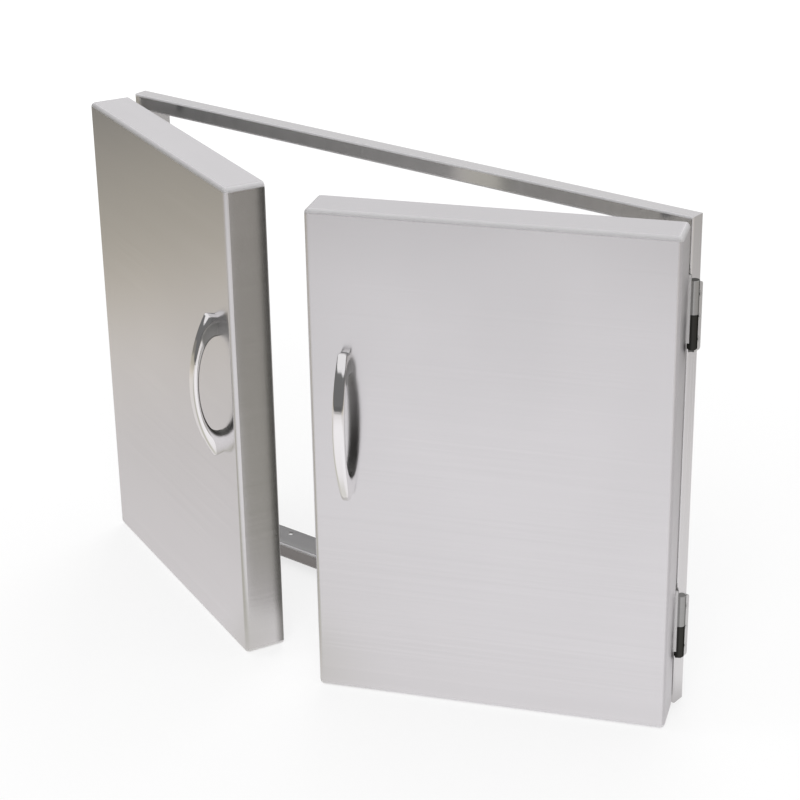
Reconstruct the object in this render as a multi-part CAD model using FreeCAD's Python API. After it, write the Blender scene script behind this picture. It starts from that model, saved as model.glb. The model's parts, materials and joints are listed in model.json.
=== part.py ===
import FreeCAD, Part
import math
import os

from FreeCAD import Vector

# A pair of overlay access doors on a slim sheet-metal frame, for a masonry cut-out.
# Row frame: X across the doors, Y into the wall, Z up, all in millimetres.
# Y = 0 is the wall's face, Z = 0 the bottom of the frame, X = 0 the middle of the frame.
# Every door piece is drawn on the left door, shut, and then mirrored and swung into place.

# Frame
frame_width = 694.0
frame_height = 500.0
frame_sheet = 1.5
frame_bend = 2.2            # outside radius of the folded corners
rail_face = 16.5            # visible width of each rail
outer_return = 16.0         # depth of the outer wall, which stands on the wall's face
inner_return = 34.0         # depth of the inner wall, which enters the cut-out

# Fixing holes in the frame's inner walls
fixing_hole_radius = 2.75
fixing_depth = 9.0          # from the wall's face to the hole's centre
jamb_fixing_spacing = 250.0
sill_fixing_spacing = 340.0

# Doors
door_depth = 43.5
door_reveal = 1.0           # frame left showing above and below a shut door
centre_gap = 4.0            # between the two shut doors
door_stand_off = 6.0        # back of a shut door to the frame's face
door_open_angle = 23.0      # both doors as the model rests
door_sheet = 1.2
door_bend = 4.5             # outside radius of the front folds
door_corner = 5.0           # outside radius of the four corners, seen from the front
door_hem = 1.6              # outside radius of the folds round the back
back_flange = 26.0          # width of the flange that runs round the back of the pan

# Back liner, a flat border round a shallow pressed field
liner_sheet = 1.0
liner_margin = 3.0          # liner's edge to the door's edge
liner_border = 36.0
liner_dish = 3.0            # depth of the pressed field
liner_draft = 3.0           # slope of its sides, measured across
liner_corner = 14.0

# Stiffener, a channel between the front skin and the liner
stiffener_sheet = 1.2
stiffener_width = 26.0
stiffener_end_gap = 38.0    # from the top and bottom of the door

# Hinges, the lift-off kind with one knuckle on each leaf
hinge_length = 66.0
hinge_inset = 90.0          # frame's end to the middle of the nearer hinge
leaf_shift = 6.0            # each leaf's plate, away from the other leaf's knuckle
leaf_sheet = 4.0
leaf_corner = 2.5
knuckle_wall = 2.2          # round the pin
pin_radius = 2.5
pin_clearance = 0.05
frame_leaf_reach = 16.0     # pin's axis to the leaf's far edge
door_leaf_reach = 25.0
knuckle_gap = 0.4           # round a knuckle, to the other leaf's plate
knuckle_play = 0.2          # between the washer and the door's knuckle
washer_thickness = 1.0
washer_inset = 0.5          # washer's rim, in from the knuckles' rims
knuckle_cap = 3.0           # closed end over the pin
pin_head_radius = 3.6
pin_head_height = 1.0
pin_end_gap = 0.5

# Countersunk screws that hold the leaves, and the tapped plates behind
leaf_screw_pitch = 22.0
leaf_screw_head = 3.6
leaf_screw_shank = 1.95
leaf_hole_radius = 2.1
leaf_screw_end = 0.6        # shank past the tapped plate
screw_clearance = 0.05
nut_plate_sheet = 3.0
nut_plate_width = 11.0
nut_plate_length = 60.0

# Handle, an arched bar on two feet
handle_centres = 128.0
handle_edge = 36.0          # door's free edge to the handle's middle
handle_height = 289.0       # frame's bottom to the handle's middle
handle_projection = 29.5
handle_grip_depth = 22.5    # clear depth behind the middle of the bar
handle_grip_centre = 1.5    # door's face to the middle of the oval grip space
handle_grip_length = 102.0  # the oval's full height
handle_overhang = 12.0      # screw's centre to the end of the bar
handle_tip_projection = 9.5
handle_foot_outer = 9.5     # screw's centre to the foot's outer end
handle_mid_width = 12.0
handle_end_width = 8.4
handle_edge_radius = 3.0
handle_bore_depth = 11.0
handle_screw_radius = 2.0
handle_screw_reach = 10.0   # shank inside the foot
handle_screw_head = 3.8
handle_screw_head_height = 2.6
handle_hole_radius = 2.3
backing_sheet = 2.5
backing_width = 26.0
backing_length = 166.0

# Magnetic catch: magnets in the rails and folded strikes on the doors
catch_offset = 32.0         # middle of the frame to the magnet's middle
magnet_length = 26.0
magnet_width = 11.5
magnet_depth = 5.0
carrier_wall = 4.0
carrier_back = 3.5
carrier_chamfer = 1.0
pocket_clearance = 0.1
strike_sheet = 1.2
strike_width = 9.0
strike_top = 24.0
strike_foot = 9.0
strike_gap = 0.6            # shut strike to the frame's face
strike_edge = 11.5          # door's top or bottom edge to the strike's middle
rivet_radius = 1.6
rivet_head_radius = 2.8
rivet_head_height = 0.9
rivet_tail = 1.5

# Bumpers on the liner
bumper_radius = 4.2
bumper_gap = 0.3
bumper_edge = 10.5
bumper_round = 1.2
bumper_near = 78.0          # middle of the frame to the bumper by the free edge
bumper_far = 298.0

# How far a cut or a drawn outline runs past the surface that it opens
overcut = 1.0

# Sizes that follow
half_width = frame_width / 2
face_y = -outer_return
knuckle_radius = pin_radius + pin_clearance + knuckle_wall
axis_x = -(half_width + knuckle_radius)
back_y = face_y - door_stand_off
axis_y = back_y + knuckle_radius
front_y = back_y - door_depth
pan_back_y = back_y - liner_sheet
flange_y = pan_back_y - door_sheet
skin_y = front_y + door_sheet
door_left = -half_width
door_right = -centre_gap / 2
door_bottom = door_reveal
door_top = frame_height - door_reveal
handle_x = door_right - handle_edge
hinge_heights = {"upper": frame_height - hinge_inset, "lower": hinge_inset}
leaf_screw_offsets = (-leaf_screw_pitch, 0.0, leaf_screw_pitch)
frame_screw_y = axis_y + (knuckle_radius + knuckle_gap + frame_leaf_reach) / 2
door_screw_x = axis_x + (knuckle_radius + knuckle_gap + door_leaf_reach) / 2
strike_heights = (door_bottom + strike_edge, door_top - strike_edge)
bumper_heights = (door_bottom + bumper_edge, door_top - bumper_edge)


def block(low, high):
    """A box between two corners."""
    return Part.makeBox(high[0] - low[0], high[1] - low[1], high[2] - low[2], Vector(*low))


def rod(radius, start, end):
    """A cylinder from one point to another."""
    axis = Vector(*end) - Vector(*start)
    return Part.makeCylinder(radius, axis.Length, Vector(*start), axis)


def rounded_outline(points, radii):
    """A closed wire of straight runs, with an arc of the given radius at each corner."""
    count = len(points)
    entries = []
    exits = []
    middles = []
    for index in range(count):
        corner = points[index]
        to_last = (points[index - 1] - corner).normalize()
        to_next = (points[(index + 1) % count] - corner).normalize()
        half_angle = to_last.getAngle(to_next) / 2
        setback = radii[index] / math.tan(half_angle)
        bisector = (to_last + to_next).normalize()
        centre = corner + bisector * (radii[index] / math.sin(half_angle))
        entries.append(corner + to_last * setback)
        exits.append(corner + to_next * setback)
        middles.append(centre - bisector * radii[index])
    edges = []
    for index in range(count):
        if radii[index] > 0:
            edges.append(Part.Arc(entries[index], middles[index], exits[index]).toShape())
        following = (index + 1) % count
        if exits[index].distanceToPoint(entries[following]) > 1e-6:
            edges.append(Part.LineSegment(exits[index], entries[following]).toShape())
    return Part.Wire(edges)


def rounded_slab(left, right, bottom, top, y_start, y_end, radius):
    """A slab with four rounded corners as seen from the front."""
    corners = [
        Vector(left, y_start, bottom),
        Vector(right, y_start, bottom),
        Vector(right, y_start, top),
        Vector(left, y_start, top),
    ]
    face = Part.Face(rounded_outline(corners, [radius] * 4))
    return face.extrude(Vector(0, y_end - y_start, 0))


def edges_at_y(shape, y):
    """The edges of a shape that lie wholly in one plane of constant Y."""
    found = []
    for edge in shape.Edges:
        box = edge.BoundBox
        if abs(box.YMin - y) < 1e-4 and abs(box.YMax - y) < 1e-4:
            found.append(edge)
    return found


def mirrored(shape, side):
    """A piece drawn on the left, put on the side that is asked for."""
    if side == "left":
        return shape
    return shape.mirror(Vector(0, 0, 0), Vector(1, 0, 0))


def hung(shape, side):
    """A piece of the shut left door, swung open about its hinges and put on its side."""
    swung = shape.copy()
    swung.rotate(Vector(axis_x, axis_y, 0), Vector(0, 0, 1), -door_open_angle)
    return mirrored(swung, side)


def save(name, shapes):
    """One STEP file, holding one solid or a group of separate solids."""
    solids = [solid for shape in shapes for solid in shape.Solids]
    body = solids[0] if len(solids) == 1 else Part.makeCompound(solids)
    body.exportStep(os.path.join("parts", name + ".step"))
    print(name, len(solids), "solids,", round(sum(solid.Volume for solid in solids), 1), "mm3")


# Frame rails

def mitred_channel(length):
    """A folded channel along X with its outer wall at Z = 0, mitred at both ends."""
    outer_wall = [(0.0, 0.0), (0.0, face_y), (rail_face, face_y), (rail_face, face_y + inner_return)]
    lining = [
        (rail_face - frame_sheet, face_y + inner_return),
        (rail_face - frame_sheet, face_y + frame_sheet),
        (frame_sheet, face_y + frame_sheet),
        (frame_sheet, 0.0),
    ]
    inner_bend = frame_bend - frame_sheet
    radii = [0.0, frame_bend, frame_bend, 0.0, 0.0, inner_bend, inner_bend, 0.0]
    outline = [Vector(-length / 2, y, z) for z, y in outer_wall + lining]
    channel = Part.Face(rounded_outline(outline, radii)).extrude(Vector(length, 0, 0))
    wedge = Part.makePolygon([
        Vector(-length / 2, face_y - overcut, 0),
        Vector(length / 2, face_y - overcut, 0),
        Vector(length / 2 - rail_face, face_y - overcut, rail_face),
        Vector(rail_face - length / 2, face_y - overcut, rail_face),
        Vector(-length / 2, face_y - overcut, 0),
    ])
    mitre = Part.Face(wedge).extrude(Vector(0, inner_return + 2 * overcut, 0))
    return channel.common(mitre)


def bottom_rail():
    rail = mitred_channel(frame_width)
    for x in (-sill_fixing_spacing / 2, sill_fixing_spacing / 2):
        hole = rod(fixing_hole_radius, (x, fixing_depth, 0), (x, fixing_depth, rail_face + overcut))
        rail = rail.cut(hole)
    return rail


def top_rail():
    return bottom_rail().mirror(Vector(0, 0, frame_height / 2), Vector(0, 0, 1))


def left_stile():
    stile = mitred_channel(frame_height)
    stile.rotate(Vector(0, 0, 0), Vector(0, 1, 0), 90)
    stile.translate(Vector(-half_width, 0, frame_height / 2))
    middle = frame_height / 2
    for z in (middle - jamb_fixing_spacing / 2, middle + jamb_fixing_spacing / 2):
        start = (-half_width, fixing_depth, z)
        end = (rail_face + overcut - half_width, fixing_depth, z)
        stile = stile.cut(rod(fixing_hole_radius, start, end))
    for height in hinge_heights.values():
        for offset in leaf_screw_offsets:
            z = frame_leaf_middle(height) + offset
            start = (-half_width - overcut, frame_screw_y, z)
            end = (frame_sheet + overcut - half_width, frame_screw_y, z)
            stile = stile.cut(rod(leaf_hole_radius, start, end))
    return stile


# Hinges

def frame_leaf_middle(height):
    return height - leaf_shift


def door_leaf_middle(height):
    return height + leaf_shift


def leaf_screw(clearance):
    """A countersunk screw along +Z with the flat of its head at Z = 0."""
    head = leaf_screw_head + clearance
    shank = leaf_screw_shank + clearance
    length = screw_length()
    profile = Part.makePolygon([
        Vector(0, 0, 0),
        Vector(head, 0, 0),
        Vector(shank, 0, head - shank),
        Vector(shank, 0, length),
        Vector(0, 0, length),
        Vector(0, 0, 0),
    ])
    return Part.Face(profile).revolve(Vector(0, 0, 0), Vector(0, 0, 1), 360)


def screw_length():
    """Long enough for the thicker stack: leaf, liner, pan flange and tapped plate."""
    stack = leaf_sheet + liner_sheet + door_sheet + nut_plate_sheet
    return stack + leaf_screw_end


def frame_leaf_screw(height, offset, clearance):
    screw = leaf_screw(clearance)
    screw.rotate(Vector(0, 0, 0), Vector(0, 1, 0), 90)
    screw.translate(Vector(-half_width - leaf_sheet, frame_screw_y, frame_leaf_middle(height) + offset))
    return screw


def door_leaf_screw(height, offset, clearance):
    screw = leaf_screw(clearance)
    screw.rotate(Vector(0, 0, 0), Vector(1, 0, 0), 90)
    screw.translate(Vector(door_screw_x, back_y + leaf_sheet, door_leaf_middle(height) + offset))
    return screw


def leaf_plate(reach, middle):
    """A leaf's plate in the XZ plane, its pin edge at X = 0, its two far corners rounded."""
    low = middle - hinge_length / 2
    high = middle + hinge_length / 2
    outline = [Vector(0, 0, low), Vector(reach, 0, low), Vector(reach, 0, high), Vector(0, 0, high)]
    plate = Part.Face(rounded_outline(outline, [0.0, leaf_corner, leaf_corner, 0.0]))
    return plate.extrude(Vector(0, leaf_sheet, 0))


def knuckle_relief(low, high):
    """The room cut from a leaf's plate round the pin's line, where it has no knuckle."""
    return rod(knuckle_radius + knuckle_gap, (axis_x, axis_y, low), (axis_x, axis_y, high))


def washer_faces(height):
    return height - washer_thickness / 2, height + washer_thickness / 2


def frame_leaf(height):
    """The leaf screwed to the frame's side, with the lower knuckle."""
    low = height - hinge_length / 2
    high = height + hinge_length / 2
    knuckle_top = washer_faces(height)[0]
    plate = leaf_plate(frame_leaf_reach, frame_leaf_middle(height))
    plate.rotate(Vector(0, 0, 0), Vector(0, 0, 1), 90)
    plate.translate(Vector(-half_width, axis_y, 0))
    plate = plate.cut(knuckle_relief(knuckle_top, high))
    plate = plate.cut(knuckle_relief(low - leaf_shift - overcut, low))
    knuckle = rod(knuckle_radius, (axis_x, axis_y, low), (axis_x, axis_y, knuckle_top))
    bore = rod(pin_radius, (axis_x, axis_y, low - overcut), (axis_x, axis_y, knuckle_top + overcut))
    leaf = plate.fuse(knuckle).cut(bore)
    for offset in leaf_screw_offsets:
        leaf = leaf.cut(frame_leaf_screw(height, offset, screw_clearance))
    return leaf.removeSplitter()


def door_leaf(height):
    """The leaf screwed to the door's back, with the upper knuckle, closed at its top."""
    low = height - hinge_length / 2
    high = height + hinge_length / 2
    knuckle_base = washer_faces(height)[1] + knuckle_play
    plate = leaf_plate(door_leaf_reach, door_leaf_middle(height))
    plate.translate(Vector(axis_x, back_y, 0))
    plate = plate.cut(knuckle_relief(low, knuckle_base))
    plate = plate.cut(knuckle_relief(high, high + leaf_shift + overcut))
    knuckle = rod(knuckle_radius, (axis_x, axis_y, knuckle_base), (axis_x, axis_y, high))
    knuckle = knuckle.makeChamfer(pin_head_height / 2, [knuckle.Edges[0]])
    bore_start = (axis_x, axis_y, knuckle_base - overcut)
    bore = rod(pin_radius + pin_clearance, bore_start, (axis_x, axis_y, high - knuckle_cap))
    leaf = plate.fuse(knuckle).cut(bore)
    for offset in leaf_screw_offsets:
        leaf = leaf.cut(door_leaf_screw(height, offset, screw_clearance))
    return leaf.removeSplitter()


def hinge_pin(height):
    """The pin, fast in the lower knuckle, with a flat head under it."""
    low = height - hinge_length / 2
    high = height + hinge_length / 2 - knuckle_cap - pin_end_gap
    shank = rod(pin_radius, (axis_x, axis_y, low), (axis_x, axis_y, high))
    head = rod(pin_head_radius, (axis_x, axis_y, low - pin_head_height), (axis_x, axis_y, low))
    return shank.fuse(head).removeSplitter()


def hinge_washer(height):
    low, high = washer_faces(height)
    ring = rod(knuckle_radius - washer_inset, (axis_x, axis_y, low), (axis_x, axis_y, high))
    return ring.cut(rod(pin_radius, (axis_x, axis_y, low - overcut), (axis_x, axis_y, high + overcut)))


def frame_nut_plate(height):
    inside_x = frame_sheet - half_width
    middle = frame_leaf_middle(height)
    low = (inside_x, frame_screw_y - nut_plate_width / 2, middle - nut_plate_length / 2)
    high = (inside_x + nut_plate_sheet, low[1] + nut_plate_width, middle + nut_plate_length / 2)
    plate = block(low, high)
    for offset in leaf_screw_offsets:
        plate = plate.cut(frame_leaf_screw(height, offset, screw_clearance))
    return plate


def door_nut_plate(height):
    middle = door_leaf_middle(height)
    low = (door_screw_x - nut_plate_width / 2, flange_y - nut_plate_sheet, middle - nut_plate_length / 2)
    high = (low[0] + nut_plate_width, flange_y, middle + nut_plate_length / 2)
    plate = block(low, high)
    for offset in leaf_screw_offsets:
        plate = plate.cut(door_leaf_screw(height, offset, screw_clearance))
    return plate


# Doors

def door_slab(inset, y_start, y_end, corner):
    """A slab of the door's outline, drawn in from the door's edges by an inset."""
    return rounded_slab(
        door_left + inset, door_right - inset, door_bottom + inset, door_top - inset,
        y_start, y_end, corner)


def outer_pan():
    """The front skin with four folded sides and a flange round the back."""
    shell = door_slab(0.0, front_y, pan_back_y, door_corner)
    shell = shell.makeFillet(door_bend, edges_at_y(shell, front_y))
    shell = shell.makeFillet(door_hem, edges_at_y(shell, pan_back_y))
    hollow = door_slab(door_sheet, skin_y, flange_y, door_corner - door_sheet)
    hollow = hollow.makeFillet(door_bend - door_sheet, edges_at_y(hollow, skin_y))
    hollow = hollow.makeFillet(door_hem - door_sheet, edges_at_y(hollow, flange_y))
    window = door_slab(back_flange, flange_y - overcut, pan_back_y + overcut, door_corner)
    pan = shell.cut(hollow).cut(window)
    for z in handle_foot_heights():
        start = (handle_x, front_y - overcut, z)
        pan = pan.cut(rod(handle_hole_radius, start, (handle_x, skin_y + overcut, z)))
    for hole in back_holes():
        pan = pan.cut(hole)
    return pan


def back_liner():
    """The sheet that closes the back, with a shallow field pressed towards the front."""
    plate = door_slab(liner_margin, pan_back_y, back_y, door_corner)
    dish = dish_block(0.0, pan_back_y - liner_dish)
    pressing = dish_block(liner_sheet, pan_back_y - liner_dish + liner_sheet)
    liner = plate.fuse(dish).cut(pressing)
    for hole in back_holes():
        liner = liner.cut(hole)
    return liner.removeSplitter()


def dish_block(inset, floor_y):
    """The tapered block that shapes one face of the pressed field."""
    rims = []
    for y, taper in ((back_y, 0.0), (floor_y, liner_draft)):
        step = liner_border + inset + taper
        corners = [
            Vector(door_left + step, y, door_bottom + step),
            Vector(door_right - step, y, door_bottom + step),
            Vector(door_right - step, y, door_top - step),
            Vector(door_left + step, y, door_top - step),
        ]
        rims.append(rounded_outline(corners, [liner_corner] * 4))
    return Part.makeLoft(rims, True, True)


def back_holes():
    """Screw and rivet holes through the liner and the pan's flange."""
    holes = []
    for height in hinge_heights.values():
        for offset in leaf_screw_offsets:
            z = door_leaf_middle(height) + offset
            start = (door_screw_x, flange_y - overcut, z)
            holes.append(rod(leaf_hole_radius, start, (door_screw_x, back_y + overcut, z)))
    for x, z in strike_rivet_places():
        radius = rivet_radius + screw_clearance
        holes.append(rod(radius, (x, flange_y - overcut, z), (x, back_y + overcut, z)))
    return holes


def stiffener():
    """A channel on edge, between the front skin and the liner's pressed field."""
    middle = (door_left + door_right) / 2
    left = middle - stiffener_width / 2
    right = middle + stiffener_width / 2
    dish_y = pan_back_y - liner_dish
    bottom = door_bottom + stiffener_end_gap
    top = door_top - stiffener_end_gap
    outer = block((left, skin_y, bottom), (right, dish_y, top))
    hollow = block(
        (left + stiffener_sheet, skin_y + stiffener_sheet, bottom - overcut),
        (right + overcut, dish_y - stiffener_sheet, top + overcut))
    return outer.cut(hollow)


# Handles

def handle_foot_heights():
    return handle_height - handle_centres / 2, handle_height + handle_centres / 2


def handle_root_y():
    """How far behind the door's face the handle is drawn, so that its edges round off evenly."""
    grip_half_depth = handle_grip_depth - handle_grip_centre
    return front_y + grip_half_depth - handle_grip_centre + 2 * handle_edge_radius


def handle_side_profile():
    """The handle seen from the side: a long outer arc and sloped ends, without its grip space."""
    half = handle_centres / 2
    tip = half + handle_overhang
    slope = (handle_overhang - handle_foot_outer) / handle_tip_projection
    root = half + handle_foot_outer - slope * (handle_root_y() - front_y)
    tip_y = front_y - handle_tip_projection
    low_tip = Vector(0, tip_y, handle_height - tip)
    high_tip = Vector(0, tip_y, handle_height + tip)
    low_root = Vector(0, handle_root_y(), handle_height - root)
    high_root = Vector(0, handle_root_y(), handle_height + root)
    crown = Vector(0, front_y - handle_projection, handle_height)
    return Part.Wire([
        Part.Arc(low_tip, crown, high_tip).toShape(),
        Part.LineSegment(high_tip, high_root).toShape(),
        Part.LineSegment(high_root, low_root).toShape(),
        Part.LineSegment(low_root, low_tip).toShape(),
    ])


def handle_grip_oval():
    """The outline of the grip space seen from the side, an upright ellipse."""
    centre = Vector(0, front_y - handle_grip_centre, handle_height)
    top = centre + Vector(0, 0, handle_grip_length / 2)
    crown = Vector(0, front_y - handle_grip_depth, handle_height)
    return Part.Wire([Part.Ellipse(top, crown, centre).toShape()])


def handle_front_profile():
    """The handle seen from the front: two long arcs, widest in the middle, past both tips."""
    reach = handle_centres / 2 + handle_overhang + overcut
    half_mid = handle_mid_width / 2
    half_end = handle_end_width / 2
    y = handle_root_y()
    low = handle_height - reach
    high = handle_height + reach
    return Part.Wire([
        Part.Arc(Vector(half_end, y, low), Vector(half_mid, y, handle_height),
                 Vector(half_end, y, high)).toShape(),
        Part.LineSegment(Vector(half_end, y, high), Vector(-half_end, y, high)).toShape(),
        Part.Arc(Vector(-half_end, y, high), Vector(-half_mid, y, handle_height),
                 Vector(-half_end, y, low)).toShape(),
        Part.LineSegment(Vector(-half_end, y, low), Vector(half_end, y, low)).toShape(),
    ])


def handle_blank(outline):
    """A side outline given a thickness across the door, wider than the bar."""
    face = Part.Face(outline)
    face.translate(Vector(-handle_mid_width, 0, 0))
    return face.extrude(Vector(2 * handle_mid_width, 0, 0))


def handle():
    """The bar with its oval grip space, rounded all over and cut flat at the door's face."""
    arch = handle_blank(handle_side_profile()).cut(handle_blank(handle_grip_oval()))
    depth = handle_root_y() - front_y + handle_projection + overcut
    bar = arch.common(Part.Face(handle_front_profile()).extrude(Vector(0, -depth, 0)))
    root_edges = edges_at_y(bar, handle_root_y())
    free_edges = [edge for edge in bar.Edges if not any(edge.isSame(other) for other in root_edges)]
    bar = bar.makeFillet(handle_edge_radius, free_edges)
    reach = handle_centres + handle_overhang
    low = (-handle_mid_width, front_y, handle_height - reach)
    high = (handle_mid_width, handle_root_y() + overcut, handle_height + reach)
    bar = bar.cut(block(low, high))
    bar.translate(Vector(handle_x, 0, 0))
    for z in handle_foot_heights():
        bore_radius = handle_screw_radius + screw_clearance
        start = (handle_x, front_y + overcut, z)
        bar = bar.cut(rod(bore_radius, start, (handle_x, front_y - handle_bore_depth, z)))
    return bar


def handle_backing():
    """The plate inside the front skin that spreads the load of the handle's screws."""
    low = (handle_x - backing_width / 2, skin_y, handle_height - backing_length / 2)
    high = (handle_x + backing_width / 2, skin_y + backing_sheet, handle_height + backing_length / 2)
    plate = block(low, high)
    for z in handle_foot_heights():
        start = (handle_x, skin_y - overcut, z)
        end = (handle_x, skin_y + backing_sheet + overcut, z)
        plate = plate.cut(rod(handle_hole_radius, start, end))
    return plate


def handle_screw(z):
    seat_y = skin_y + backing_sheet
    shank = rod(handle_screw_radius, (handle_x, front_y - handle_screw_reach, z), (handle_x, seat_y, z))
    head_end = (handle_x, seat_y + handle_screw_head_height, z)
    head = rod(handle_screw_head, (handle_x, seat_y, z), head_end)
    head = head.makeFillet(handle_screw_head_height / 2, edges_at_y(head, head_end[1]))
    return shank.fuse(head).removeSplitter()


# Catches and bumpers

def channel_middle():
    """Middle of the space between a rail's two walls, from the frame's outer edge."""
    return rail_face / 2


def catch_magnet(z):
    low = (-catch_offset - magnet_length / 2, face_y + frame_sheet, z - magnet_width / 2)
    high = (low[0] + magnet_length, low[1] + magnet_depth, z + magnet_width / 2)
    return block(low, high)


def magnet_carrier(z):
    """A moulded cradle that fills the rail's channel and holds the magnet to its face."""
    half_length = magnet_length / 2 + carrier_wall
    half_height = rail_face / 2 - frame_sheet
    front = face_y + frame_sheet
    low = (-catch_offset - half_length, front, z - half_height)
    high = (-catch_offset + half_length, front + magnet_depth + carrier_back, z + half_height)
    cradle = block(low, high)
    front_edges = edges_at_y(cradle, front)
    cradle = cradle.makeChamfer(carrier_chamfer, front_edges)
    pocket_half = magnet_length / 2 + pocket_clearance
    pocket_height = magnet_width / 2 + pocket_clearance
    pocket = block(
        (-catch_offset - pocket_half, front - overcut, z - pocket_height),
        (-catch_offset + pocket_half, front + magnet_depth, z + pocket_height))
    return cradle.cut(pocket)


def strike_plate(z):
    """A strip folded to a hat, standing off the liner almost to the shut frame."""
    height = door_stand_off - strike_gap
    top = strike_top / 2
    foot = top + strike_foot
    sheet = strike_sheet
    outline = [
        (-foot, 0), (-top + sheet, 0), (-top + sheet, height - sheet), (top - sheet, height - sheet),
        (top - sheet, 0), (foot, 0), (foot, sheet), (top, sheet),
        (top, height), (-top, height), (-top, sheet), (-foot, sheet), (-foot, 0),
    ]
    points = [Vector(x - catch_offset, back_y + y, z - strike_width / 2) for x, y in outline]
    strike = Part.Face(Part.makePolygon(points)).extrude(Vector(0, 0, strike_width))
    for x, rivet_z in strike_rivet_places():
        radius = rivet_radius + screw_clearance
        start = (x, back_y - overcut, rivet_z)
        strike = strike.cut(rod(radius, start, (x, back_y + sheet + overcut, rivet_z)))
    return strike


def strike_rivet_places():
    reach = strike_top / 2 + strike_foot / 2
    places = []
    for z in strike_heights:
        places.append((-catch_offset - reach, z))
        places.append((-catch_offset + reach, z))
    return places


def strike_rivet(x, z):
    seat = back_y + strike_sheet
    shank = rod(rivet_radius, (x, flange_y - rivet_tail, z), (x, seat, z))
    head = rod(rivet_head_radius, (x, seat, z), (x, seat + rivet_head_height, z))
    tail = rod(rivet_head_radius, (x, flange_y - rivet_tail, z), (x, flange_y, z))
    return shank.fuse([head, tail]).removeSplitter()


def bumper(x, z):
    height = door_stand_off - bumper_gap
    pad = rod(bumper_radius, (x, back_y, z), (x, back_y + height, z))
    return pad.makeFillet(bumper_round, edges_at_y(pad, back_y + height))


def save_frame():
    save("frame_bottom_rail", [bottom_rail()])
    save("frame_top_rail", [top_rail()])
    for side in ("left", "right"):
        save("frame_" + side + "_stile", [mirrored(left_stile(), side)])
        for level, height in hinge_heights.items():
            save(side + "_" + level + "_frame_leaf", [mirrored(frame_leaf(height), side)])
            save(side + "_" + level + "_hinge_pin", [mirrored(hinge_pin(height), side)])


def save_frame_groups():
    washers = []
    screws = []
    plates = []
    magnets = []
    carriers = []
    for side in ("left", "right"):
        for height in hinge_heights.values():
            washers.append(mirrored(hinge_washer(height), side))
            plates.append(mirrored(frame_nut_plate(height), side))
            for offset in leaf_screw_offsets:
                screws.append(mirrored(frame_leaf_screw(height, offset, 0.0), side))
        for z in (channel_middle(), frame_height - channel_middle()):
            magnets.append(mirrored(catch_magnet(z), side))
            carriers.append(mirrored(magnet_carrier(z), side))
    save("hinge_washers", washers)
    save("frame_leaf_screws", screws)
    save("frame_nut_plates", plates)
    save("catch_magnets", magnets)
    save("magnet_carriers", carriers)


def save_door(side):
    heights = hinge_heights.values()
    pieces = {
        "outer_pan": [outer_pan()],
        "back_liner": [back_liner()],
        "stiffener": [stiffener()],
        "handle": [handle()],
        "handle_backing": [handle_backing()],
        "handle_screws": [handle_screw(z) for z in handle_foot_heights()],
        "upper_door_leaf": [door_leaf(hinge_heights["upper"])],
        "lower_door_leaf": [door_leaf(hinge_heights["lower"])],
        "door_leaf_screws": [
            door_leaf_screw(height, offset, 0.0) for height in heights for offset in leaf_screw_offsets],
        "door_nut_plates": [door_nut_plate(height) for height in heights],
        "strike_plates": [strike_plate(z) for z in strike_heights],
        "strike_rivets": [strike_rivet(x, z) for x, z in strike_rivet_places()],
        "bumpers": [bumper(-x, z) for x in (bumper_near, bumper_far) for z in bumper_heights],
    }
    for name, shapes in pieces.items():
        save(side + "_" + name, [hung(shape, side) for shape in shapes])


os.makedirs("parts", exist_ok=True)
save_frame()
save_frame_groups()
save_door("left")
save_door("right")
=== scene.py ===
# %% [markdown]
# # A pair of stainless access doors for an outdoor kitchen
#
# The construction is loaded first and never changes: two shallow folded doors, a slim mitred frame,
# lift-off hinges, bow handles and magnetic catches, each one an object of its own, in metres.
# This file gives every surface its finish, models the small machined details, and sets up a plain
# studio to look at them in.

# %% Load the construction
import json
import math

import bmesh
import bpy
from mathutils import Matrix, Vector


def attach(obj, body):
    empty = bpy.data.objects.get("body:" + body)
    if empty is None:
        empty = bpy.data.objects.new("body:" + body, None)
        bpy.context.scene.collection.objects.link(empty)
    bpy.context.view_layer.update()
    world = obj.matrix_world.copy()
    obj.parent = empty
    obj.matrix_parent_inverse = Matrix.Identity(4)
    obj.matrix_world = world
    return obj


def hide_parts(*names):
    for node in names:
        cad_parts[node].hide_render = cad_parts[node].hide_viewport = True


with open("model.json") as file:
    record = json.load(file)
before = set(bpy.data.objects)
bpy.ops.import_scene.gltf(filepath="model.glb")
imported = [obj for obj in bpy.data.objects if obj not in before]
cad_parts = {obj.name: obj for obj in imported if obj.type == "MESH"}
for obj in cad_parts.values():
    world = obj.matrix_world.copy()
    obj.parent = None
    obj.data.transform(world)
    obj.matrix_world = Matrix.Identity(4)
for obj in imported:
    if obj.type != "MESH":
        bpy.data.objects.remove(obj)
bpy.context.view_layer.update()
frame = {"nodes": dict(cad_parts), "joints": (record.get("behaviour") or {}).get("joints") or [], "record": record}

# %% [markdown]
# ## Names for the main places
#
# The frame says where the hinges stand and how far the doors are open, so nothing here is typed twice.
# A door's own directions are worth having by name: a brushed finish follows the sheet, and the sheet
# has swung open with the door.

# %% Hinge lines and door directions
hinge = {joint["child"]: joint for joint in frame["joints"]}
turn = {"frame": 0.0}
for body in sorted(hinge):
    open_angle = -math.radians(hinge[body]["range_deg"][0])
    turn[body] = open_angle * hinge[body]["axis"][2]
    print(body, "is open by", round(math.degrees(open_angle), 1), "degrees")


def body_of_node(name):
    """The body that a construction node belongs to."""
    for body, members in frame["record"]["behaviour"]["bodies"].items():
        if name in members:
            return body
    return "frame"


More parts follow.
